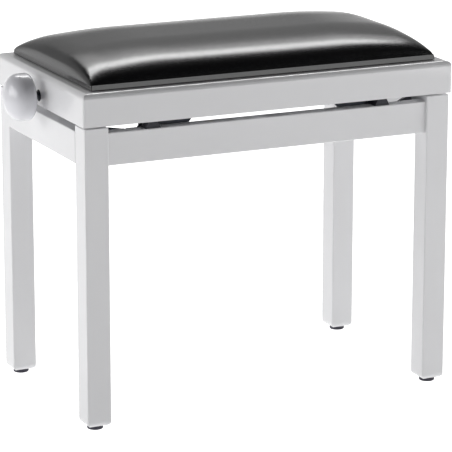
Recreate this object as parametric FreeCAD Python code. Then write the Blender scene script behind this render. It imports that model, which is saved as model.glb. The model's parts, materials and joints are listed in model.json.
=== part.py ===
"""Height-adjustable piano bench: lacquered leg frame, lifting seat frame, vinyl cushion and screw lift.

Frame: X along the bench, Y to the back, Z up, origin on the floor under the centre of the leg frame.
Millimetres, drawn with the seat at its lowest setting.
"""
import FreeCAD, Part
import math
import os
from FreeCAD import Vector

# Leg frame
BASE_LENGTH = 540.0        # outside the legs, along X
BASE_WIDTH = 312.0         # outside the legs, along Y
LEG = 34.0                 # square section
LEG_TOP = 413.0
LEG_TOE_ROUND = 8.0        # rounding round the bottom of a leg
WOOD_EDGE = 1.5            # rounding on sharp wooden edges
FOOT_HEIGHT = 5.0
FOOT_RADIUS = 11.0
STEM_RADIUS = 4.0
STEM_LENGTH = 20.0
APRON_HEIGHT = 44.0
APRON_DROP = 8.0           # aprons stop below the leg tops
APRON_THICK = 20.0
APRON_RECESS = 5.0         # long aprons stand back from the leg faces
BRACE_HEIGHT = 30.0
BRACE_DROP = 1.5           # below the top of the aprons
BRACE_SPAN = 34.0          # along the long apron, from the leg
BRACE_THICK = 3.0          # folded steel
BRACE_LIP = 6.0            # let into a saw cut in each apron
BRACE_FOLD = 2.0           # from the aprons to the folds
BRACE_BOLT_DROP = 11.0     # below the top of the brace
KERF_PLAY = 0.1

# Seat frame
SEAT_LENGTH = 545.0
SEAT_WIDTH = 318.0
SEAT_GAP = 3.0             # over the legs at the lowest setting
RAIL_HEIGHT = 44.0
RAIL_THICK = 20.0
RAIL_ROUND = 8.0           # outer top edge
PANEL_THICK = 12.0
PANEL_GAP = 0.2
SEAT_BLOCK_SPAN = 45.0
SEAT_BLOCK_DEPTH = 25.0

# Cushion
CUSHION_MARGIN = 18.0      # from the seat frame's outer edge
COVER_THICK = 1.0
COVER_HEM = 25.0           # turned under the board
BOARD_THICK = 6.0
CUSHION_RISE = 42.0        # above the seat frame, at the crown
# inset from the board's edge, as a share of the greatest inset, and height as a share of the rise
CUSHION_STEPS = ((0.0, 0.0), (0.06, 0.35), (0.2, 0.68), (0.5, 0.9), (1.0, 1.0))
CUSHION_INSET = 90.0

# Screw lift
LIFT = 85.0                # seat travel
ARM_SWING = 33.0           # degrees, over the whole travel
ARM_LENGTH = 160.0         # between its pivots
ARM_DEPTH = 20.0
ARM_THICK = 4.0
ARM_INNER = 119.0          # arms' inner faces, from the middle of the bench
PIVOT_X = 170.0
PIVOT_DROP = 3.0           # arm pivots below the leg tops
ROD_RISE = 13.5            # rod above the seat frame's bottom
ROD_RADIUS = 5.5
PIN_RADIUS = 4.95
PIVOT_HOLE = 5.0
LIFT_SLACK = 2.2           # round the rod and the slot pins: the arms' arc is not a straight line
BRACKET_THICK = 3.0
BRACKET_TONGUE = 66.0      # from the pivot to the tongue's tip
BRACKET_TONGUE_TOP = 2.0
BUFFER_FOOT = 22.0
BUFFER_TOP = 12.0
BUFFER_HEIGHT = 10.5
STEEL = 3.0                # upper rail and bearing plate
NUT_BAR = 16.0             # along X
NUT_BAR_DEPTH = 20.0
NUT_RADIUS = 12.0
NUT_LENGTH = 18.0
UPPER_RAIL_HALF = 120.0
BUSH_RADIUS = 8.0
BEARING_X = 78.0
ROD_END = 92.0

# Knob
KNOB_RADIUS = 32.0
KNOB_INNER = 284.0         # distances from the middle of the bench, back of the knob first
KNOB_SIDE_START = 291.0
KNOB_SIDE_END = 300.0
KNOB_OUTER = 322.0
KNOB_BACK = 22.0           # radius of its flat back
KNOB_INSERT = 8.0

SCREW_RADIUS = 2.0
SCREW_HEAD = 4.0
SCREW_HEAD_HEIGHT = 2.0
SCREW_HOLE = 2.05
BOLT_RADIUS = 3.0
BOLT_HOLE = 3.2

# Worked out
APRON_TOP = LEG_TOP - APRON_DROP
APRON_BOTTOM = APRON_TOP - APRON_HEIGHT
BRACE_TOP = APRON_TOP - BRACE_DROP
BRACE_BOTTOM = BRACE_TOP - BRACE_HEIGHT
SEAT_BOTTOM = LEG_TOP + SEAT_GAP
SEAT_TOP = SEAT_BOTTOM + RAIL_HEIGHT
CUSHION_TOP = SEAT_TOP + CUSHION_RISE
PIVOT_Z = LEG_TOP - PIVOT_DROP
ROD_Z = SEAT_BOTTOM + ROD_RISE
UPPER_RAIL_BOTTOM = SEAT_BOTTOM + 3.0
LEG_IN_X = BASE_LENGTH / 2 - LEG
LEG_IN_Y = BASE_WIDTH / 2 - LEG
LONG_APRON_OUT = BASE_WIDTH / 2 - APRON_RECESS
LONG_APRON_IN = LONG_APRON_OUT - APRON_THICK
SIDE_APRON_IN = BASE_LENGTH / 2 - APRON_THICK
BRACE_X = LEG_IN_X - BRACE_SPAN
BRACE_Y = BRACE_X + LONG_APRON_IN - SIDE_APRON_IN     # the brace crosses the corner at 45 degrees
SEAT_IN_X = SEAT_LENGTH / 2 - RAIL_THICK
SEAT_IN_Y = SEAT_WIDTH / 2 - RAIL_THICK
PANEL_BOTTOM = SEAT_TOP - PANEL_THICK
BOARD_BOTTOM = SEAT_TOP + COVER_THICK
BOARD_TOP = BOARD_BOTTOM + BOARD_THICK
BOARD_HALF_X = SEAT_LENGTH / 2 - CUSHION_MARGIN - COVER_THICK
BOARD_HALF_Y = SEAT_WIDTH / 2 - CUSHION_MARGIN - COVER_THICK
ARM_OUTER = ARM_INNER + ARM_THICK
ARM_REST = math.asin((ROD_Z - PIVOT_Z) / ARM_LENGTH)
NUT_X = PIVOT_X - ARM_LENGTH * math.cos(ARM_REST)
NUT_X_HIGH = PIVOT_X - ARM_LENGTH * math.cos(ARM_REST + math.radians(ARM_SWING))
BRACKET_IN = LONG_APRON_IN - BRACKET_THICK
UPPER_RAIL_IN = ARM_OUTER + 1.0
UPPER_RAIL_OUT = UPPER_RAIL_IN + STEEL
BRACKET_SCREW_REACH = 19.0     # to each side of the pivot
BRACKET_SCREW_DROP = 33.0      # below it
BRACKET_SCREW_LENGTH = 15.0
RAIL_SCREW_X = (-95.0, 0.0, 95.0)
CUSHION_SCREW_X = (-170.0, 0.0, 170.0)
CUSHION_SCREW_Y = 90.0

X, Y, Z = Vector(1, 0, 0), Vector(0, 1, 0), Vector(0, 0, 1)
CORNERS = (("front_left", -1, -1), ("front_right", 1, -1), ("back_left", -1, 1), ("back_right", 1, 1))
SIDES = (("left", -1), ("right", 1))


def box(x0, x1, y0, y1, z0, z1):
    return Part.makeBox(x1 - x0, y1 - y0, z1 - z0, Vector(x0, y0, z0))


def rod(start, axis, radius, length):
    return Part.makeCylinder(radius, length, start, axis)


def prism(points, depth):
    return Part.Face(Part.makePolygon(points + points[:1])).extrude(depth)


def flat(points, z0, z1):
    """A plan outline given for the back right quarter, between two heights."""
    return prism([Vector(x, y, z0) for x, y in points], Z * (z1 - z0))


def mirrored(shape, side_x, side_y):
    """A piece drawn in the back right quarter, moved to another quarter."""
    if side_x < 0:
        shape = shape.mirror(Vector(), X)
    if side_y < 0:
        shape = shape.mirror(Vector(), Y)
    return shape


def every_corner(shape):
    return [mirrored(shape, side_x, side_y) for _, side_x, side_y in CORNERS]


def screw(under_head, axis, length):
    """A pan-head screw: the shank runs along axis, the slotted head stands the other way."""
    head = rod(under_head, axis * -1, SCREW_HEAD, SCREW_HEAD_HEIGHT)
    rim = [e for e in head.Edges if e.Closed and e.CenterOfMass.distanceToPoint(under_head) > 1.0]
    head = head.makeFillet(0.8, rim)
    slot = Part.makeBox(2 * SCREW_HEAD, 0.9, 0.8, Vector(-SCREW_HEAD, -0.45, SCREW_HEAD_HEIGHT - 0.8))
    slot.Placement = FreeCAD.Placement(under_head, FreeCAD.Rotation(Z, axis * -1))
    return head.cut(slot).fuse(rod(under_head, axis, SCREW_RADIUS, length))


def screw_hole(under_head, axis, length):
    return rod(under_head, axis, SCREW_HOLE, length + 0.5)


def eased(shape, radius, keep):
    """Round the edges that pass the test."""
    return shape.makeFillet(radius, [edge for edge in shape.Edges if keep(edge)])


def along(edge, direction):
    return abs(edge.tangentAt(edge.FirstParameter).dot(direction)) > 0.999


def export(name, *solids):
    shape = solids[0] if len(solids) == 1 else Part.makeCompound(list(solids))
    for solid in shape.Solids:
        if not solid.isValid() or solid.Volume <= 0:
            raise ValueError(name + " is not a valid solid")
    shape.exportStep("parts/" + name + ".step")


# Leg frame

def brace_bolt_start():
    """Where the bolt ends inside the leg, and its direction away from the leg."""
    direction = Vector(-1, -1, 0).normalize()
    inner_edge = Vector(LEG_IN_X, LEG_IN_Y, BRACE_TOP - BRACE_BOLT_DROP)
    return inner_edge - direction * 16.0, direction


def brace_reach():
    """Distance from the bolt's inner end to the brace's inner face."""
    slant = BRACE_X + LONG_APRON_IN - BRACE_FOLD
    return 16.0 + (LEG_IN_X + LEG_IN_Y - slant) / math.sqrt(2)


def leg():
    x0, x1 = LEG_IN_X, BASE_LENGTH / 2
    y0, y1 = LEG_IN_Y, BASE_WIDTH / 2
    body = box(x0, x1, y0, y1, FOOT_HEIGHT, LEG_TOP)
    body = eased(body, WOOD_EDGE, lambda e: along(e, Z))
    body = body.makeChamfer(WOOD_EDGE / 2, [e for e in body.Edges if e.CenterOfMass.z > LEG_TOP - 0.01])
    rounded = eased(box(x0, x1, y0, y1, FOOT_HEIGHT, LEG_TOP), LEG_TOE_ROUND,
                    lambda e: e.CenterOfMass.z < FOOT_HEIGHT + 0.01)
    body = body.common(rounded)
    stem = Vector((x0 + x1) / 2, (y0 + y1) / 2, FOOT_HEIGHT)
    stem_hole = rod(stem, Z, STEM_RADIUS + 0.05, STEM_LENGTH + 1)
    start, direction = brace_bolt_start()
    return body.cut(stem_hole).cut(rod(start, direction, BOLT_RADIUS, 40.0))


def foot():
    middle = Vector(BASE_LENGTH / 2 - LEG / 2, BASE_WIDTH / 2 - LEG / 2, 0)
    pad = rod(middle, Z, FOOT_RADIUS, FOOT_HEIGHT)
    pad = eased(pad, 1.5, lambda e: e.CenterOfMass.z < 0.01)
    return pad.fuse(rod(middle + Z * FOOT_HEIGHT, Z, STEM_RADIUS, STEM_LENGTH))


def bracket_screw_places():
    """Under the heads of the back right bracket's screws, which run outward into the apron."""
    height = PIVOT_Z - BRACKET_SCREW_DROP
    return [Vector(PIVOT_X + side * BRACKET_SCREW_REACH, BRACKET_IN, height) for side in (-1, 1)]


def long_apron():
    """The back apron, with holes for both brackets' screws and a saw cut for each brace."""
    body = box(-LEG_IN_X, LEG_IN_X, LONG_APRON_IN, LONG_APRON_OUT, APRON_BOTTOM, APRON_TOP)
    body = eased(body, WOOD_EDGE, lambda e: along(e, X))
    kerf = box(BRACE_X - KERF_PLAY, BRACE_X + BRACE_THICK + KERF_PLAY, LONG_APRON_IN - 1,
               LONG_APRON_IN + BRACE_LIP + KERF_PLAY, APRON_BOTTOM - 1, APRON_TOP + 1)
    body = body.cut(kerf).cut(kerf.mirror(Vector(), X))
    for place in bracket_screw_places():
        hole = screw_hole(place, Y, BRACKET_SCREW_LENGTH)
        body = body.cut(hole).cut(hole.mirror(Vector(), X))
    return body


def side_apron():
    body = box(SIDE_APRON_IN, BASE_LENGTH / 2, -LEG_IN_Y, LEG_IN_Y, APRON_BOTTOM, APRON_TOP)
    body = eased(body, WOOD_EDGE, lambda e: along(e, Y))
    kerf = box(SIDE_APRON_IN - 1, SIDE_APRON_IN + BRACE_LIP + KERF_PLAY, BRACE_Y - KERF_PLAY,
               BRACE_Y + BRACE_THICK + KERF_PLAY, APRON_BOTTOM - 1, APRON_TOP + 1)
    return body.cut(kerf).cut(kerf.mirror(Vector(), Y))


def corner_brace():
    """A folded steel strip across the corner, with a lip in each apron and the leg's bolt through it."""
    fold = BRACE_THICK * math.tan(math.radians(22.5))
    outline = [(BRACE_X, LONG_APRON_IN + BRACE_LIP), (BRACE_X, LONG_APRON_IN - BRACE_FOLD),
               (SIDE_APRON_IN - BRACE_FOLD, BRACE_Y), (SIDE_APRON_IN + BRACE_LIP, BRACE_Y),
               (SIDE_APRON_IN + BRACE_LIP, BRACE_Y + BRACE_THICK),
               (SIDE_APRON_IN - BRACE_FOLD + fold, BRACE_Y + BRACE_THICK),
               (BRACE_X + BRACE_THICK, LONG_APRON_IN - BRACE_FOLD + fold),
               (BRACE_X + BRACE_THICK, LONG_APRON_IN + BRACE_LIP)]
    start, direction = brace_bolt_start()
    return flat(outline, BRACE_BOTTOM, BRACE_TOP).cut(rod(start, direction, BOLT_HOLE, 80.0))


def brace_bolt():
    start, direction = brace_bolt_start()
    return rod(start, direction, BOLT_RADIUS, brace_reach() + 9.0)


def brace_nut():
    """A washer and hexagon nut on the brace's inner face."""
    start, direction = brace_bolt_start()
    seat = start + direction * brace_reach()
    sideways = Vector(-direction.y, direction.x, 0)
    points = []
    for k in range(6):
        angle = math.radians(60 * k)
        points.append(seat + (sideways * math.cos(angle) + Z * math.sin(angle)) * 5.77)
    washer = rod(seat, direction, 8.0, 1.2)
    return washer.fuse(prism(points, direction * 6.2)).cut(rod(seat, direction, BOLT_RADIUS, 10.0))


def pivot_bracket():
    """A plate on the apron's inner face: an ear for the arm's pin, and a tongue towards the middle."""
    face = [(-25, -40), (25, -40), (25, -24), (11, 0), (-11, 0), (-15, -5), (-19, BRACKET_TONGUE_TOP),
            (-BRACKET_TONGUE, BRACKET_TONGUE_TOP), (-BRACKET_TONGUE + 12, -11), (-25, -11)]
    plate = prism([Vector(PIVOT_X + x, BRACKET_IN, PIVOT_Z + z) for x, z in face], Y * BRACKET_THICK)
    plate = plate.fuse(rod(Vector(PIVOT_X, BRACKET_IN, PIVOT_Z), Y, 11.0, BRACKET_THICK))
    plate = plate.removeSplitter()
    plate = plate.cut(rod(Vector(PIVOT_X, BRACKET_IN, PIVOT_Z), Y, PIN_RADIUS, BRACKET_THICK))
    for place in bracket_screw_places():
        plate = plate.cut(screw_hole(place, Y, BRACKET_THICK))
    return plate


def seat_buffer():
    """A tapered rubber stop on the long apron, just under the seat frame's lowest place."""
    half_foot, half_top = BUFFER_FOOT / 2, BUFFER_TOP / 2
    face = [(-half_foot, 0), (half_foot, 0), (half_top, BUFFER_HEIGHT), (-half_top, BUFFER_HEIGHT)]
    start = LONG_APRON_IN + 1
    body = prism([Vector(PIVOT_X + x, start, APRON_TOP + z) for x, z in face], Y * (APRON_THICK - 3))
    return eased(body, 1.0, lambda e: along(e, Y) and e.CenterOfMass.z > APRON_TOP + 1)


def pivot_pin():
    """Headed pin, riveted in the bracket's ear."""
    pin = rod(Vector(PIVOT_X, ARM_INNER - 0.3, PIVOT_Z), Y, PIN_RADIUS, LONG_APRON_IN - ARM_INNER + 0.3)
    return pin.fuse(rod(Vector(PIVOT_X, ARM_INNER - 3.3, PIVOT_Z), Y, 8.0, 3.0))


def pivot_spacer():
    sleeve = rod(Vector(PIVOT_X, ARM_OUTER + 0.3, PIVOT_Z), Y, 7.5, BRACKET_IN - ARM_OUTER - 0.3)
    return sleeve.cut(rod(Vector(PIVOT_X, ARM_OUTER, PIVOT_Z), Y, PIN_RADIUS, 10.0))


# Seat frame

def rail_ring():
    """The whole seat frame as one ring, before it is cut at its mitres."""
    half_x, half_y = SEAT_LENGTH / 2, SEAT_WIDTH / 2
    lengthwise = box(-half_x, half_x, -half_y, half_y, SEAT_BOTTOM, SEAT_TOP)
    crosswise = lengthwise.copy()
    lengthwise = eased(lengthwise, RAIL_ROUND, lambda e: along(e, X) and e.CenterOfMass.z > SEAT_TOP - 1)
    crosswise = eased(crosswise, RAIL_ROUND, lambda e: along(e, Y) and e.CenterOfMass.z > SEAT_TOP - 1)
    ring = lengthwise.common(crosswise)
    plan = eased(box(-half_x, half_x, -half_y, half_y, SEAT_BOTTOM, SEAT_TOP), 2 * WOOD_EDGE,
                 lambda e: along(e, Z))
    ring = ring.common(plan)
    return ring.cut(box(-SEAT_IN_X, SEAT_IN_X, -SEAT_IN_Y, SEAT_IN_Y, SEAT_BOTTOM, SEAT_TOP))


def long_rail(ring):
    """The back rail: the part of the ring between two mitres."""
    reach, overhang = SEAT_LENGTH / 2, SEAT_LENGTH / 2 - SEAT_WIDTH / 2
    wedge = flat([(-reach, reach - overhang), (reach, reach - overhang), (overhang, 0), (-overhang, 0)],
                 SEAT_BOTTOM, SEAT_TOP)
    return ring.common(wedge)


def side_rail(ring):
    """The right rail, between its mitres."""
    reach = SEAT_WIDTH / 2
    tip = SEAT_LENGTH / 2 - reach
    wedge = flat([(SEAT_LENGTH / 2, -reach), (SEAT_LENGTH / 2, reach), (tip, 0)], SEAT_BOTTOM, SEAT_TOP)
    return ring.common(wedge)


def block_screw_place():
    return Vector(SEAT_IN_X - 14.0, SEAT_IN_Y - 14.0, PANEL_BOTTOM - SEAT_BLOCK_DEPTH)


def seat_block():
    corner = [(SEAT_IN_X, SEAT_IN_Y), (SEAT_IN_X - SEAT_BLOCK_SPAN, SEAT_IN_Y),
              (SEAT_IN_X, SEAT_IN_Y - SEAT_BLOCK_SPAN)]
    body = flat(corner, PANEL_BOTTOM - SEAT_BLOCK_DEPTH, PANEL_BOTTOM)
    return body.cut(screw_hole(block_screw_place(), Z, SEAT_BLOCK_DEPTH))


def block_screw():
    return screw(block_screw_place(), Z, SEAT_BLOCK_DEPTH + PANEL_THICK - 3)


def steel_screw_places():
    """Under the heads of the screws that hold the upper rails and the bearing plate."""
    y = (UPPER_RAIL_OUT + SEAT_IN_Y) / 2
    places = [Vector(x, side * y, PANEL_BOTTOM - STEEL) for side in (-1, 1) for x in RAIL_SCREW_X]
    return places + [Vector(BEARING_X + 17, side * 12.0, PANEL_BOTTOM - STEEL) for side in (-1, 1)]


def cushion_screw_places():
    return [Vector(x, side * CUSHION_SCREW_Y, PANEL_BOTTOM) for side in (-1, 1) for x in CUSHION_SCREW_X]


def seat_panel():
    half_x, half_y = SEAT_IN_X - PANEL_GAP, SEAT_IN_Y - PANEL_GAP
    body = box(-half_x, half_x, -half_y, half_y, PANEL_BOTTOM, SEAT_TOP)
    for place in steel_screw_places():
        body = body.cut(screw_hole(place, Z, STEEL + PANEL_THICK - 3))
    for place in cushion_screw_places():
        body = body.cut(screw_hole(place, Z, PANEL_THICK + 5))
    for hole in every_corner(screw_hole(block_screw_place(), Z, SEAT_BLOCK_DEPTH + PANEL_THICK - 3)):
        body = body.cut(hole)
    return body


def upper_rail():
    """The back angle under the seat panel; its slot lets the nut bar's pins travel."""
    half = UPPER_RAIL_HALF
    wall = box(-half, half, UPPER_RAIL_IN, UPPER_RAIL_OUT, UPPER_RAIL_BOTTOM, PANEL_BOTTOM)
    shelf = box(-half, half, UPPER_RAIL_IN, SEAT_IN_Y - 1, PANEL_BOTTOM - STEEL, PANEL_BOTTOM)
    body = wall.fuse(shelf).removeSplitter()
    half_slot = PIN_RADIUS + LIFT_SLACK
    for side in (-1, 1):
        near, far = side * (NUT_X - 1), side * (NUT_X_HIGH + 1)
        low, high = min(near, far), max(near, far)
        body = body.cut(box(low, high, 0, SEAT_IN_Y, ROD_Z - half_slot, ROD_Z + half_slot))
        for x in (low, high):
            body = body.cut(rod(Vector(x, 0, ROD_Z), Y, half_slot, SEAT_IN_Y))
    for place in steel_screw_places():
        body = body.cut(screw_hole(place, Z, STEEL))
    return body


def cushion_board():
    body = box(-BOARD_HALF_X, BOARD_HALF_X, -BOARD_HALF_Y, BOARD_HALF_Y, BOARD_BOTTOM, BOARD_TOP)
    for place in cushion_screw_places():
        body = body.cut(screw_hole(place, Z, PANEL_THICK + 5))
    return body


def crowned(grow, bottom):
    """The pad's outline rising in steps to its crown, grown outward and upward by grow."""
    rise = CUSHION_TOP - COVER_THICK - BOARD_TOP
    sections = []
    for inward, upward in CUSHION_STEPS:
        half_x = BOARD_HALF_X - inward * CUSHION_INSET + grow
        half_y = BOARD_HALF_Y - inward * CUSHION_INSET + grow
        z = BOARD_TOP + upward * (rise + grow)
        corners = [Vector(sx * half_x, sy * half_y, z) for sx, sy in ((-1, -1), (1, -1), (1, 1), (-1, 1))]
        sections.append(Part.makePolygon(corners + corners[:1]))
    body = Part.makeLoft(sections, True, True)
    if bottom < BOARD_TOP:
        half_x, half_y = BOARD_HALF_X + grow, BOARD_HALF_Y + grow
        body = body.fuse(box(-half_x, half_x, -half_y, half_y, bottom, BOARD_TOP)).removeSplitter()
    return body


def cushion_cover(foam):
    """A thin skin over foam and board edge, with its hem under the board."""
    hem_x, hem_y = BOARD_HALF_X - COVER_HEM, BOARD_HALF_Y - COVER_HEM
    skin = crowned(COVER_THICK, SEAT_TOP).cut(foam)
    skin = skin.cut(box(-BOARD_HALF_X, BOARD_HALF_X, -BOARD_HALF_Y, BOARD_HALF_Y, BOARD_BOTTOM, BOARD_TOP))
    return skin.cut(box(-hem_x, hem_x, -hem_y, hem_y, SEAT_TOP, BOARD_BOTTOM))


# Screw lift

def lift_arm():
    """The back right arm, from its bracket pin up to the nut bar's pin."""
    low, high = Vector(PIVOT_X, ARM_INNER, PIVOT_Z), Vector(NUT_X, ARM_INNER, ROD_Z)
    lengthwise = (high - low).normalize()
    across = Vector(-lengthwise.z, 0, lengthwise.x) * (ARM_DEPTH / 2)
    body = prism([low + across, high + across, high - across, low - across], Y * ARM_THICK)
    for end in (low, high):
        body = body.fuse(rod(end, Y, ARM_DEPTH / 2, ARM_THICK))
    body = body.removeSplitter()
    for end in (low, high):
        body = body.cut(rod(end, Y, PIVOT_HOLE, ARM_THICK))
    return body


def nut_bar():
    """The right cross bar between the two arms, with a turned pin at each end."""
    half = ARM_INNER - 1.0
    body = box(NUT_X - NUT_BAR / 2, NUT_X + NUT_BAR / 2, -half, half, ROD_Z - NUT_BAR_DEPTH / 2,
               ROD_Z + NUT_BAR_DEPTH / 2)
    body = eased(body, 2.0, lambda e: along(e, Y))
    pin_reach = UPPER_RAIL_OUT + 2.0
    body = body.fuse(rod(Vector(NUT_X, -pin_reach, ROD_Z), Y, PIN_RADIUS, 2 * pin_reach))
    collar = rod(Vector(NUT_X - NUT_BAR / 2, 0, ROD_Z), X, NUT_RADIUS + 4, NUT_BAR)
    return body.fuse(collar).cut(rod(Vector(NUT_X - 2 * NUT_BAR, 0, ROD_Z), X, NUT_RADIUS, 4 * NUT_BAR))


def lift_nut():
    sleeve = rod(Vector(NUT_X - NUT_LENGTH / 2, 0, ROD_Z), X, NUT_RADIUS, NUT_LENGTH)
    return sleeve.cut(rod(Vector(0, 0, ROD_Z), X, ROD_RADIUS + LIFT_SLACK, 4 * NUT_LENGTH))


def pin_clips():
    """Spring rings outside the upper rails, on the right nut bar's pins."""
    ring = rod(Vector(NUT_X, UPPER_RAIL_OUT + 0.5, ROD_Z), Y, 8.0, 1.0)
    ring = ring.cut(rod(Vector(NUT_X, UPPER_RAIL_OUT, ROD_Z), Y, PIN_RADIUS, 5.0))
    return [ring, ring.mirror(Vector(), Y)]


def rod_bush():
    """Bush in the left rail, flush outside and flanged inside."""
    outer = SEAT_LENGTH / 2
    body = rod(Vector(-outer, 0, ROD_Z), X, BUSH_RADIUS, RAIL_THICK)
    body = body.fuse(rod(Vector(-SEAT_IN_X, 0, ROD_Z), X, BUSH_RADIUS + 3, 1.5))
    return body.cut(rod(Vector(-outer - 5, 0, ROD_Z), X, ROD_RADIUS + 0.05, 2 * RAIL_THICK))


def rod_bearing():
    """Bent plate under the seat panel that holds the rod's far end."""
    wall = box(BEARING_X, BEARING_X + STEEL, -20, 20, ROD_Z - 12, PANEL_BOTTOM)
    wall = eased(wall, 8.0, lambda e: along(e, X) and e.CenterOfMass.z < ROD_Z)
    shelf = box(BEARING_X, BEARING_X + 26, -20, 20, PANEL_BOTTOM - STEEL, PANEL_BOTTOM)
    body = wall.fuse(shelf).removeSplitter().cut(rod(Vector(0, 0, ROD_Z), X, ROD_RADIUS + 0.05, 200.0))
    for place in steel_screw_places():
        body = body.cut(screw_hole(place, Z, STEEL))
    return body


def drive_rod():
    """Left- and right-hand screw; the shank is turned down a little outside the threads."""
    length = ROD_END + KNOB_OUTER - 18.0
    body = rod(Vector(ROD_END - length, 0, ROD_Z), X, ROD_RADIUS, length)
    return eased(body, 0.8, lambda e: e.Closed)


def rod_collar(start):
    body = rod(Vector(start, 0, ROD_Z), X, 10.0, 6.0)
    body = eased(body, 0.6, lambda e: e.Closed)
    return body.cut(rod(Vector(start - 1, 0, ROD_Z), X, ROD_RADIUS, 10.0))


def knob():
    """A turned bun: domed front, short straight side, rounded down to a flat back."""
    def ellipse_quarter(centre_x, centre_z, reach_x, reach_z, start):
        points = []
        for k in range(10):
            angle = math.radians(start + 10 * k)
            across, up = reach_x * math.cos(angle), reach_z * math.sin(angle)
            points.append(Vector(centre_x - across, 0, centre_z + up))
        curve = Part.BSplineCurve()
        curve.interpolate(points)
        return curve.toShape(), points

    dome, front = ellipse_quarter(-KNOB_SIDE_END, 0, KNOB_OUTER - KNOB_SIDE_END, KNOB_RADIUS, 0)
    rounding, back = ellipse_quarter(-KNOB_SIDE_START, KNOB_BACK, KNOB_SIDE_START - KNOB_INNER,
                                     KNOB_RADIUS - KNOB_BACK, 90)
    axis_end = Vector(-KNOB_INNER, 0, 0)
    edges = [dome, Part.makeLine(front[-1], back[0]), rounding, Part.makeLine(back[-1], axis_end),
             Part.makeLine(axis_end, front[0])]
    body = Part.Face(Part.Wire(edges)).revolve(Vector(), X, 360)
    body = Part.Solid(body) if body.ShapeType == "Shell" else body
    body.translate(Z * ROD_Z)
    return body.cut(rod(Vector(-KNOB_OUTER + 18, 0, ROD_Z), X, KNOB_INSERT, 40.0))


def knob_insert():
    start = Vector(-KNOB_OUTER + 18, 0, ROD_Z)
    length = KNOB_OUTER - 18 - KNOB_INNER
    return rod(start, X, KNOB_INSERT, length).cut(rod(start, X, ROD_RADIUS, length))


def leg_frame():
    pieces = {"leg": leg(), "foot": foot(), "corner_brace": corner_brace(), "pivot_bracket": pivot_bracket()}
    for name, shape in pieces.items():
        for place, side_x, side_y in CORNERS:
            export(name + "_" + place, mirrored(shape, side_x, side_y))
    export("apron_front", mirrored(long_apron(), 1, -1))
    export("apron_back", long_apron())
    for place, side in SIDES:
        export("apron_" + place, mirrored(side_apron(), side, 1))
    export("brace_bolts", *every_corner(brace_bolt()))
    export("brace_nuts", *every_corner(brace_nut()))
    screws = [screw(place, Y, BRACKET_SCREW_LENGTH) for place in bracket_screw_places()]
    export("bracket_screws", *[solid for one in screws for solid in every_corner(one)])
    export("pivot_pins", *every_corner(pivot_pin()))
    export("pivot_spacers", *every_corner(pivot_spacer()))
    export("seat_buffers", *every_corner(seat_buffer()))


def seat():
    ring = rail_ring()
    bush_hole = rod(Vector(-SEAT_LENGTH / 2 - 5, 0, ROD_Z), X, BUSH_RADIUS, 2 * RAIL_THICK)
    export("seat_rail_front", mirrored(long_rail(ring), 1, -1))
    export("seat_rail_back", long_rail(ring))
    export("seat_rail_left", mirrored(side_rail(ring), -1, 1).cut(bush_hole))
    export("seat_rail_right", side_rail(ring))
    for place, side_x, side_y in CORNERS:
        export("seat_block_" + place, mirrored(seat_block(), side_x, side_y))
    export("seat_block_screws", *every_corner(block_screw()))
    export("seat_panel", seat_panel())
    export("upper_rail_front", mirrored(upper_rail(), 1, -1))
    export("upper_rail_back", upper_rail())
    steel_screws = [screw(place, Z, STEEL + PANEL_THICK - 3) for place in steel_screw_places()]
    export("upper_rail_screws", *steel_screws)
    export("rod_bush", rod_bush())
    export("rod_bearing", rod_bearing())
    foam = crowned(0, BOARD_TOP)
    export("cushion_board", cushion_board())
    export("cushion_foam", foam)
    export("cushion_cover", cushion_cover(foam))
    export("cushion_screws", *[screw(place, Z, PANEL_THICK + 5) for place in cushion_screw_places()])


def lift():
    for place, side_x, side_y in CORNERS:
        export("lift_arm_" + place, mirrored(lift_arm(), side_x, side_y))
    for place, side in SIDES:
        export("nut_bar_" + place, mirrored(nut_bar(), side, 1))
        export("lift_nut_" + place, mirrored(lift_nut(), side, 1))
        export("pin_clips_" + place, *[mirrored(clip, side, 1) for clip in pin_clips()])
    export("drive_rod", drive_rod())
    export("rod_collars", rod_collar(-SEAT_IN_X + 1.8), rod_collar(BEARING_X + STEEL + 0.3))
    export("knob", knob())
    export("knob_insert", knob_insert())


os.makedirs("parts", exist_ok=True)
leg_frame()
seat()
lift()
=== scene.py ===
"""The adjustable piano bench's looks: white lacquer, black vinyl, dark steel, in a white studio."""
import json
import math

import bmesh
import bpy
from mathutils import Matrix, Vector

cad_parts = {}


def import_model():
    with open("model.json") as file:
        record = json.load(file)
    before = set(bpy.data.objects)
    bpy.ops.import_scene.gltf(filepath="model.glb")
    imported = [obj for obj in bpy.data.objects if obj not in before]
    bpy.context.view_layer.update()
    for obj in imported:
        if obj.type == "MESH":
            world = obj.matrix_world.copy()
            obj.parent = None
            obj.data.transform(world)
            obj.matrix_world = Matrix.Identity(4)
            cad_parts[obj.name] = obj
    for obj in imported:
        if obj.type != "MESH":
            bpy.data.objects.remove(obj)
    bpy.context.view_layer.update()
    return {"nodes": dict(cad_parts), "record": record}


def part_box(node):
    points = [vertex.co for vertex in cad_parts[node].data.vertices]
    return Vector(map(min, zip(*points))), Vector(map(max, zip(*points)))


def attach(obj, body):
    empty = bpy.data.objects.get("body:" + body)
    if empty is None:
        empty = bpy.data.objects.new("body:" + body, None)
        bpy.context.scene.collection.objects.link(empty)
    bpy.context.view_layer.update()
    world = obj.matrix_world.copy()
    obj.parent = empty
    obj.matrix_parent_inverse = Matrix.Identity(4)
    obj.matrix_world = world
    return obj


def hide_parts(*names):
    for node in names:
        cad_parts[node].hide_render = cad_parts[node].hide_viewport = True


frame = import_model()

# Camera: the way it faces, in degrees, and the place where it stands
CAMERA_AZIMUTH = -24.952
CAMERA_ELEVATION = 14.608
CAMERA_ROLL = 0.032
CAMERA_PLACE = (-1.58467, -3.41604, 1.20010)
LENS = 221.23                # millimetres on the usual 36 mm sensor

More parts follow.
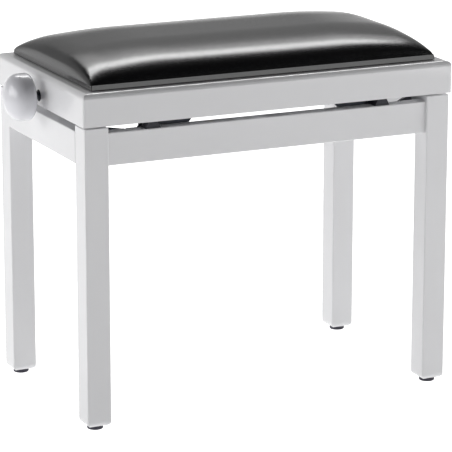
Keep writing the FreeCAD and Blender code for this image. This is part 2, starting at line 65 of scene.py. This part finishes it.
# Upholstery; where there is a pair, it is along X, then along Y
HEM = 0.012                  # how far the cover turns in under the board
BAND_HEIGHT = 0.0068         # the upright edge of the cushion
BAND_LEAN = 0.0007           # how far the band's top stands in
WELT = 0.0005                # rounding at the band's lower edge
SKIN_GAP = 0.0004            # kept under the cushion's edge
RISE = 0.0360                # from the band to the crown
SIDE_SHARE = (0.70, 0.52)    # how much of the rise the sides make; the slow crown makes the rest
SIDE_REACH = (0.041, 0.049)  # how far in the sides round over
SIDE_FULLNESS = (0.64, 0.25) # 1 is a quarter ellipse, and less is a steeper, fuller side
SIDE_FOOT = (0.0, 0.0012)    # how far up its curve a side starts, so that its foot isn't upright
CROWN_REACH = (0.129, 0.1086) # how far in the top goes on rising
GRID_FINE = 0.0016           # spacing of the mesh at the edges, and in the middle
GRID_COARSE = 0.007
GRID_GROWTH = 1.12

WHITE = (1.0, 1.0, 1.0, 1.0)

# Light, as radiance
FLOOR_GLOW = 0.64            # what the floor gives the bench, and what the eye sees of it
FLOOR_SEEN = 1.1
SKY_SEEN = 1.6
BACKDROP = 0.44              # behind the bench, at the horizon all round, and overhead
HORIZON = 0.9
OVERHEAD = 0.025
SEAT_MIDDLE = Vector((0.0, 0.0, 0.47))


# Materials

class Nodes:
    """A material with one Principled shader, and short calls that add texture to it."""

    def __init__(self, name, colour, roughness, **values):
        self.material = bpy.data.materials.new(name)
        self.material.use_nodes = True
        self.tree = self.material.node_tree
        self.shader = self.tree.nodes["Principled BSDF"]
        self.material.diffuse_color = (*colour, 1.0)
        self.shader.inputs["Base Color"].default_value = (*colour, 1.0)
        self.shader.inputs["Roughness"].default_value = roughness
        for socket, value in values.items():
            self.shader.inputs[socket.replace("_", " ")].default_value = value

    def add(self, kind, **values):
        node = self.tree.nodes.new(kind)
        for key, value in values.items():
            if hasattr(node, key):
                setattr(node, key, value)
            else:
                node.inputs[key.replace("_", " ")].default_value = value
        return node

    def link(self, out, into):
        self.tree.links.new(out, into)

    def place(self, stretch=(1.0, 1.0, 1.0)):
        """Object coordinates, in metres, stretched."""
        coordinates = self.add("ShaderNodeTexCoord")
        mapping = self.add("ShaderNodeMapping", Scale=stretch)
        self.link(coordinates.outputs["Object"], mapping.inputs["Vector"])
        return mapping.outputs["Vector"]

    def noise(self, scale, detail=3.0, stretch=(1.0, 1.0, 1.0)):
        node = self.add("ShaderNodeTexNoise", Scale=scale, Detail=detail)
        self.link(self.place(stretch), node.inputs["Vector"])
        return node.outputs["Fac"]

    def cells(self, scale):
        node = self.add("ShaderNodeTexVoronoi", feature="DISTANCE_TO_EDGE", Scale=scale)
        self.link(self.place(), node.inputs["Vector"])
        return node.outputs["Distance"]

    def between(self, value, low, high, start=0.3, end=0.7):
        node = self.add("ShaderNodeMapRange", From_Min=start, From_Max=end, To_Min=low, To_Max=high)
        self.link(value, node.inputs["Value"])
        return node.outputs["Result"]

    def colours(self, value, dark, light, start=0.3, end=0.7):
        ramp = self.add("ShaderNodeValToRGB")
        ramp.color_ramp.elements[0].position = start
        ramp.color_ramp.elements[0].color = (*dark, 1.0)
        ramp.color_ramp.elements[1].position = end
        ramp.color_ramp.elements[1].color = (*light, 1.0)
        self.link(value, ramp.inputs["Fac"])
        self.link(ramp.outputs["Color"], self.shader.inputs["Base Color"])

    def roughness(self, value, low, high):
        self.link(self.between(value, low, high), self.shader.inputs["Roughness"])

    def bump(self, *layers):
        """Layers of (height, strength, distance in metres), the first one lowest."""
        normal = None
        for height, strength, distance in layers:
            node = self.add("ShaderNodeBump", Strength=strength, Distance=distance)
            self.link(height, node.inputs["Height"])
            if normal:
                self.link(normal, node.inputs["Normal"])
            normal = node.outputs["Normal"]
        self.link(normal, self.shader.inputs["Normal"])


def lacquer(name, colour, haze=0.04):
    """Sprayed gloss: a faint orange peel under a clear, hard surface."""
    paint = Nodes(name, colour, 0.35, Coat_Weight=1.0, Coat_Roughness=haze, Coat_IOR=1.5)
    paint.colours(paint.noise(9.0), tuple(c * 0.985 for c in colour), colour)
    paint.roughness(paint.noise(60.0), 0.30, 0.40)
    paint.bump((paint.noise(420.0, 2.0), 0.03, 0.0001), (paint.noise(35.0, 1.0), 0.03, 0.001))
    return paint.material


def vinyl():
    """Fine-grained upholstery vinyl."""
    skin = Nodes("black_vinyl", (0.002, 0.002, 0.003), 0.22, Specular_IOR_Level=1.0)
    skin.colours(skin.noise(30.0, 4.0), (0.0015, 0.0015, 0.002), (0.003, 0.003, 0.004))
    skin.roughness(skin.noise(220.0), 0.20, 0.25)
    skin.bump((skin.cells(620.0), 0.035, 0.0001), (skin.noise(1500.0, 4.0), 0.02, 0.0001),
              (skin.noise(14.0, 2.0), 0.05, 0.002))
    return skin.material


def timber(name, dark, light, stretch, roughness):
    """Bare wood with its grain along the axis that is stretched least."""
    wood = Nodes(name, light, roughness)
    grain = wood.noise(55.0, 8.0, stretch)
    wood.colours(grain, dark, light, 0.35, 0.65)
    wood.roughness(grain, roughness - 0.08, roughness + 0.08)
    wood.bump((grain, 0.25, 0.0003))
    return wood.material


def dark_steel():
    steel = Nodes("dark_steel", (0.020, 0.024, 0.036), 0.38, Metallic=0.2, Coat_Weight=0.25)
    steel.colours(steel.noise(40.0, 4.0), (0.016, 0.019, 0.029), (0.027, 0.032, 0.046))
    steel.roughness(steel.noise(150.0), 0.30, 0.46)
    steel.bump((steel.noise(700.0, 3.0), 0.12, 0.0002))
    return steel.material


def metal(name, dark, light, low, high):
    plate = Nodes(name, light, low, Metallic=1.0)
    plate.colours(plate.noise(90.0, 5.0), dark, light)
    plate.roughness(plate.noise(260.0, 4.0), low, high)
    plate.bump((plate.noise(900.0, 2.0, (1.0, 0.15, 1.0)), 0.08, 0.0001))
    return plate.material


def glide():
    plastic = Nodes("glide_plastic", (0.030, 0.028, 0.045), 0.5)
    plastic.colours(plastic.noise(200.0), (0.024, 0.022, 0.036), (0.038, 0.036, 0.056))
    plastic.bump((plastic.noise(1200.0), 0.15, 0.0002))
    return plastic.material


def rubber():
    moulded = Nodes("black_rubber", (0.018, 0.018, 0.026), 0.62)
    moulded.colours(moulded.noise(120.0), (0.014, 0.014, 0.021), (0.024, 0.024, 0.033))
    moulded.roughness(moulded.noise(300.0), 0.55, 0.70)
    moulded.bump((moulded.noise(1500.0), 0.12, 0.0001))
    return moulded.material


def foam():
    pad = Nodes("foam", (0.75, 0.72, 0.55), 0.9)
    pad.colours(pad.noise(25.0), (0.68, 0.64, 0.46), (0.78, 0.75, 0.58))
    pad.bump((pad.cells(900.0), 0.4, 0.0005))
    return pad.material


MATERIALS = {
    "white_lacquer": lacquer("white_lacquer", (0.80, 0.80, 0.815)),
    "knob_white": lacquer("knob_white", (0.71, 0.71, 0.75), 0.15),
    "black_vinyl": vinyl(),
    "foam": foam(),
    "plywood": timber("plywood", (0.64, 0.59, 0.52), (0.74, 0.70, 0.64), (0.15, 1.0, 6.0), 0.6),
    "panel_board": timber("panel_board", (0.045, 0.045, 0.053), (0.075, 0.075, 0.085), (0.15, 1.0, 6.0), 0.6),
    "dark_steel": dark_steel(),
    "zinc_steel": metal("zinc_steel", (0.42, 0.43, 0.45), (0.62, 0.63, 0.65), 0.25, 0.42),
    "brass": metal("brass", (0.58, 0.42, 0.18), (0.76, 0.59, 0.29), 0.22, 0.36),
    "black_rubber": rubber(),
    "glide_plastic": glide(),
}


def paint(piece, slot):
    piece.data.materials.clear()
    piece.data.materials.append(MATERIALS[slot])


def paint_cad_nodes():
    for entry in frame["record"]["subparts"]:
        paint(frame["nodes"][entry["node"]], entry["material_slot"])


# Pieces

def new_piece(name, mesh, slot, body):
    """A smooth piece with its material, riding on a body of the frame."""
    piece = bpy.data.objects.new(name, mesh)
    bpy.context.scene.collection.objects.link(piece)
    paint(piece, slot)
    for face in mesh.polygons:
        face.use_smooth = True
    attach(piece, body)
    return piece


def graded(half):
    """Places from -half to half, close together near the ends."""
    places, at, step = [], 0.0, GRID_FINE
    while at < half:
        places.append(half - at)
        at += step
        step = min(step * GRID_GROWTH, GRID_COARSE)
    side = places[:-1] if places[-1] < step / 2 else places
    return [-p for p in side] + [0.0] + side[::-1]


def swell(share, axis):
    """Height of a side's curve at a share of its reach, from 0 to 1."""
    return (1.0 - (1.0 - min(share, 1.0)) ** 2) ** (SIDE_FULLNESS[axis] / 2)


def rise(distance, axis):
    """Height of the cushion at a distance from its edge, as a share of the full rise."""
    inside = max(distance, 0.0)
    foot, span = SIDE_FOOT[axis], SIDE_REACH[axis] + SIDE_FOOT[axis]
    start = swell(foot / span, axis)
    side = (swell((inside + foot) / span, axis) - start) / (1.0 - start)
    crown = math.sin(min(inside / CROWN_REACH[axis], 1.0) * math.pi / 2)
    return SIDE_SHARE[axis] * side + (1.0 - SIDE_SHARE[axis]) * crown


def cushion_height(x, y, half_x, half_y):
    """The two rises multiply, so that each corner is a ridge that sharpens towards its foot."""
    return RISE * rise(half_x - abs(x), 0) * rise(half_y - abs(y), 1)


def cushion():
    """The upholstered cover: crowned top, upright band, and the hem turned under the board."""
    low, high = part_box("cushion_cover")
    half_x, half_y = high.x, high.y
    top_x, top_y = half_x - BAND_LEAN, half_y - BAND_LEAN
    bottom = low.z + SKIN_GAP
    band_top = bottom + BAND_HEIGHT
    mesh = bmesh.new()
    xs, ys = graded(top_x), graded(top_y)
    grid = {}
    for i, x in enumerate(xs):
        for j, y in enumerate(ys):
            grid[i, j] = mesh.verts.new((x, y, band_top + cushion_height(x, y, top_x, top_y)))
    for i in range(len(xs) - 1):
        for j in range(len(ys) - 1):
            mesh.faces.new((grid[i, j], grid[i + 1, j], grid[i + 1, j + 1], grid[i, j + 1]))
    rim = [(i, 0) for i in range(len(xs))] + [(len(xs) - 1, j) for j in range(1, len(ys))]
    rim += [(i, len(ys) - 1) for i in range(len(xs) - 2, -1, -1)]
    rim += [(0, j) for j in range(len(ys) - 2, 0, -1)]
    edge = [grid[key] for key in rim]
    creases = [edge]
    loop = edge
    for inward, z in ((0.0, bottom + WELT), (WELT, bottom), (HEM, bottom)):
        across, along = (half_x - inward) / top_x, (half_y - inward) / top_y
        lower = [mesh.verts.new((vert.co.x * across, vert.co.y * along, z)) for vert in edge]
        for k in range(len(loop)):
            nxt = (k + 1) % len(loop)
            mesh.faces.new((loop[k], lower[k], lower[nxt], loop[nxt]))
        creases.append(lower)
        loop = lower
    mesh.faces.new(loop[::-1])
    bmesh.ops.recalc_face_normals(mesh, faces=mesh.faces)
    for crease in creases:
        for k, vert in enumerate(crease):
            mesh.edges.get((vert, crease[k - 1])).smooth = False
    data = bpy.data.meshes.new("cushion")
    mesh.to_mesh(data)
    mesh.free()
    piece = new_piece("cushion", data, "black_vinyl", "seat")
    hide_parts("cushion_cover", "cushion_foam")


# Studio

def floor():
    bpy.ops.mesh.primitive_circle_add(vertices=96, radius=6.0, fill_type="NGON")
    ground = bpy.context.object
    ground.name = "floor"
    paper = Nodes("floor_paper", (0.85, 0.85, 0.85), 0.9, Emission_Color=WHITE)
    seen = paper.add("ShaderNodeLightPath").outputs["Is Camera Ray"]
    glow = paper.between(seen, FLOOR_GLOW, FLOOR_SEEN, 0.0, 1.0)
    paper.link(glow, paper.shader.inputs["Emission Strength"])
    ground.data.materials.append(paper.material)


def world():
    """White to the eye; as light, a pale backdrop low down behind the bench, and dim elsewhere."""
    sky = bpy.data.worlds.new("studio")
    bpy.context.scene.world = sky
    sky.use_nodes = True
    tree = sky.node_tree
    tree.nodes.clear()

    def node(kind, **values):
        made = tree.nodes.new(kind)
        for key, value in values.items():
            setattr(made, key, value)
        return made

    direction = node("ShaderNodeTexCoord").outputs["Generated"]
    axes = node("ShaderNodeSeparateXYZ")
    tree.links.new(direction, axes.inputs[0])

    def band(axis, start, end, low, high):
        ranged = node("ShaderNodeMapRange", interpolation_type="SMOOTHSTEP")
        for key, number in zip(("From Min", "From Max", "To Min", "To Max"), (start, end, low, high)):
            ranged.inputs[key].default_value = number
        tree.links.new(axes.outputs[axis], ranged.inputs["Value"])
        return ranged.outputs["Result"]

    def combine(operation, a, b):
        made = node("ShaderNodeMath", operation=operation)
        tree.links.new(a, made.inputs[0])
        tree.links.new(b, made.inputs[1])
        return made.outputs[0]

    backdrop = combine("MULTIPLY", band("Y", 0.1, 0.5, 0.0, BACKDROP), band("Z", 0.38, 0.55, 1.0, 0.15))
    lit = combine("ADD", backdrop, band("Z", 0.03, 0.12, HORIZON, OVERHEAD))
    fill = node("ShaderNodeBackground")
    tree.links.new(lit, fill.inputs["Strength"])
    seen = node("ShaderNodeBackground")
    seen.inputs["Color"].default_value = WHITE
    seen.inputs["Strength"].default_value = SKY_SEEN
    mix = node("ShaderNodeMixShader")
    tree.links.new(node("ShaderNodeLightPath").outputs["Is Camera Ray"], mix.inputs["Fac"])
    tree.links.new(fill.outputs[0], mix.inputs[1])
    tree.links.new(seen.outputs[0], mix.inputs[2])
    tree.links.new(mix.outputs[0], node("ShaderNodeOutputWorld").inputs["Surface"])


def softbox(name, place, size, radiance):
    """A rectangle of light at a place, turned to the seat."""
    lamp = bpy.data.lights.new(name, "AREA")
    lamp.shape = "RECTANGLE"
    lamp.size, lamp.size_y = size
    lamp.energy = radiance * math.pi * size[0] * size[1]
    stand = bpy.data.objects.new(name, lamp)
    bpy.context.scene.collection.objects.link(stand)
    stand.location = place
    stand.rotation_euler = (SEAT_MIDDLE - Vector(place)).to_track_quat("-Z", "Y").to_euler()
    stand.visible_camera = False


def softboxes():
    softbox("back_softbox", (0.62, 1.76, 2.80), (2.6, 0.60), 7.2)
    softbox("back_fade", (0.75, 2.05, 2.20), (2.6, 0.60), 1.3)
    softbox("left_softbox", (-1.9, 0.3, 0.9), (1.6, 0.8), 3.0)
    softbox("front_softbox", (0.9, -1.3, 0.43), (1.8, 0.5), 1.1)
    softbox("right_softbox", (1.8, -0.6, 1.3), (1.0, 1.0), 2.0)


def camera():
    """A long lens, level but for a slight roll."""
    azimuth, elevation, roll = (math.radians(a) for a in (CAMERA_AZIMUTH, CAMERA_ELEVATION, CAMERA_ROLL))
    looking = Vector((-math.sin(azimuth) * math.cos(elevation), math.cos(azimuth) * math.cos(elevation),
                      -math.sin(elevation)))
    right = looking.cross(Vector((0, 0, 1))).normalized()
    up = right.cross(looking)
    across = right * math.cos(roll) + up * math.sin(roll)
    upward = up * math.cos(roll) - right * math.sin(roll)
    data = bpy.data.cameras.new("camera")
    data.lens = LENS
    data.clip_end = 50.0
    eye = bpy.data.objects.new("camera", data)
    bpy.context.scene.collection.objects.link(eye)
    turn = Matrix((across, upward, -looking)).transposed().to_4x4()
    eye.matrix_world = Matrix.Translation(CAMERA_PLACE) @ turn
    bpy.context.scene.camera = eye


bpy.context.scene.view_settings.view_transform = "Standard"
paint_cad_nodes()
cushion()
floor()
world()
softboxes()
camera()
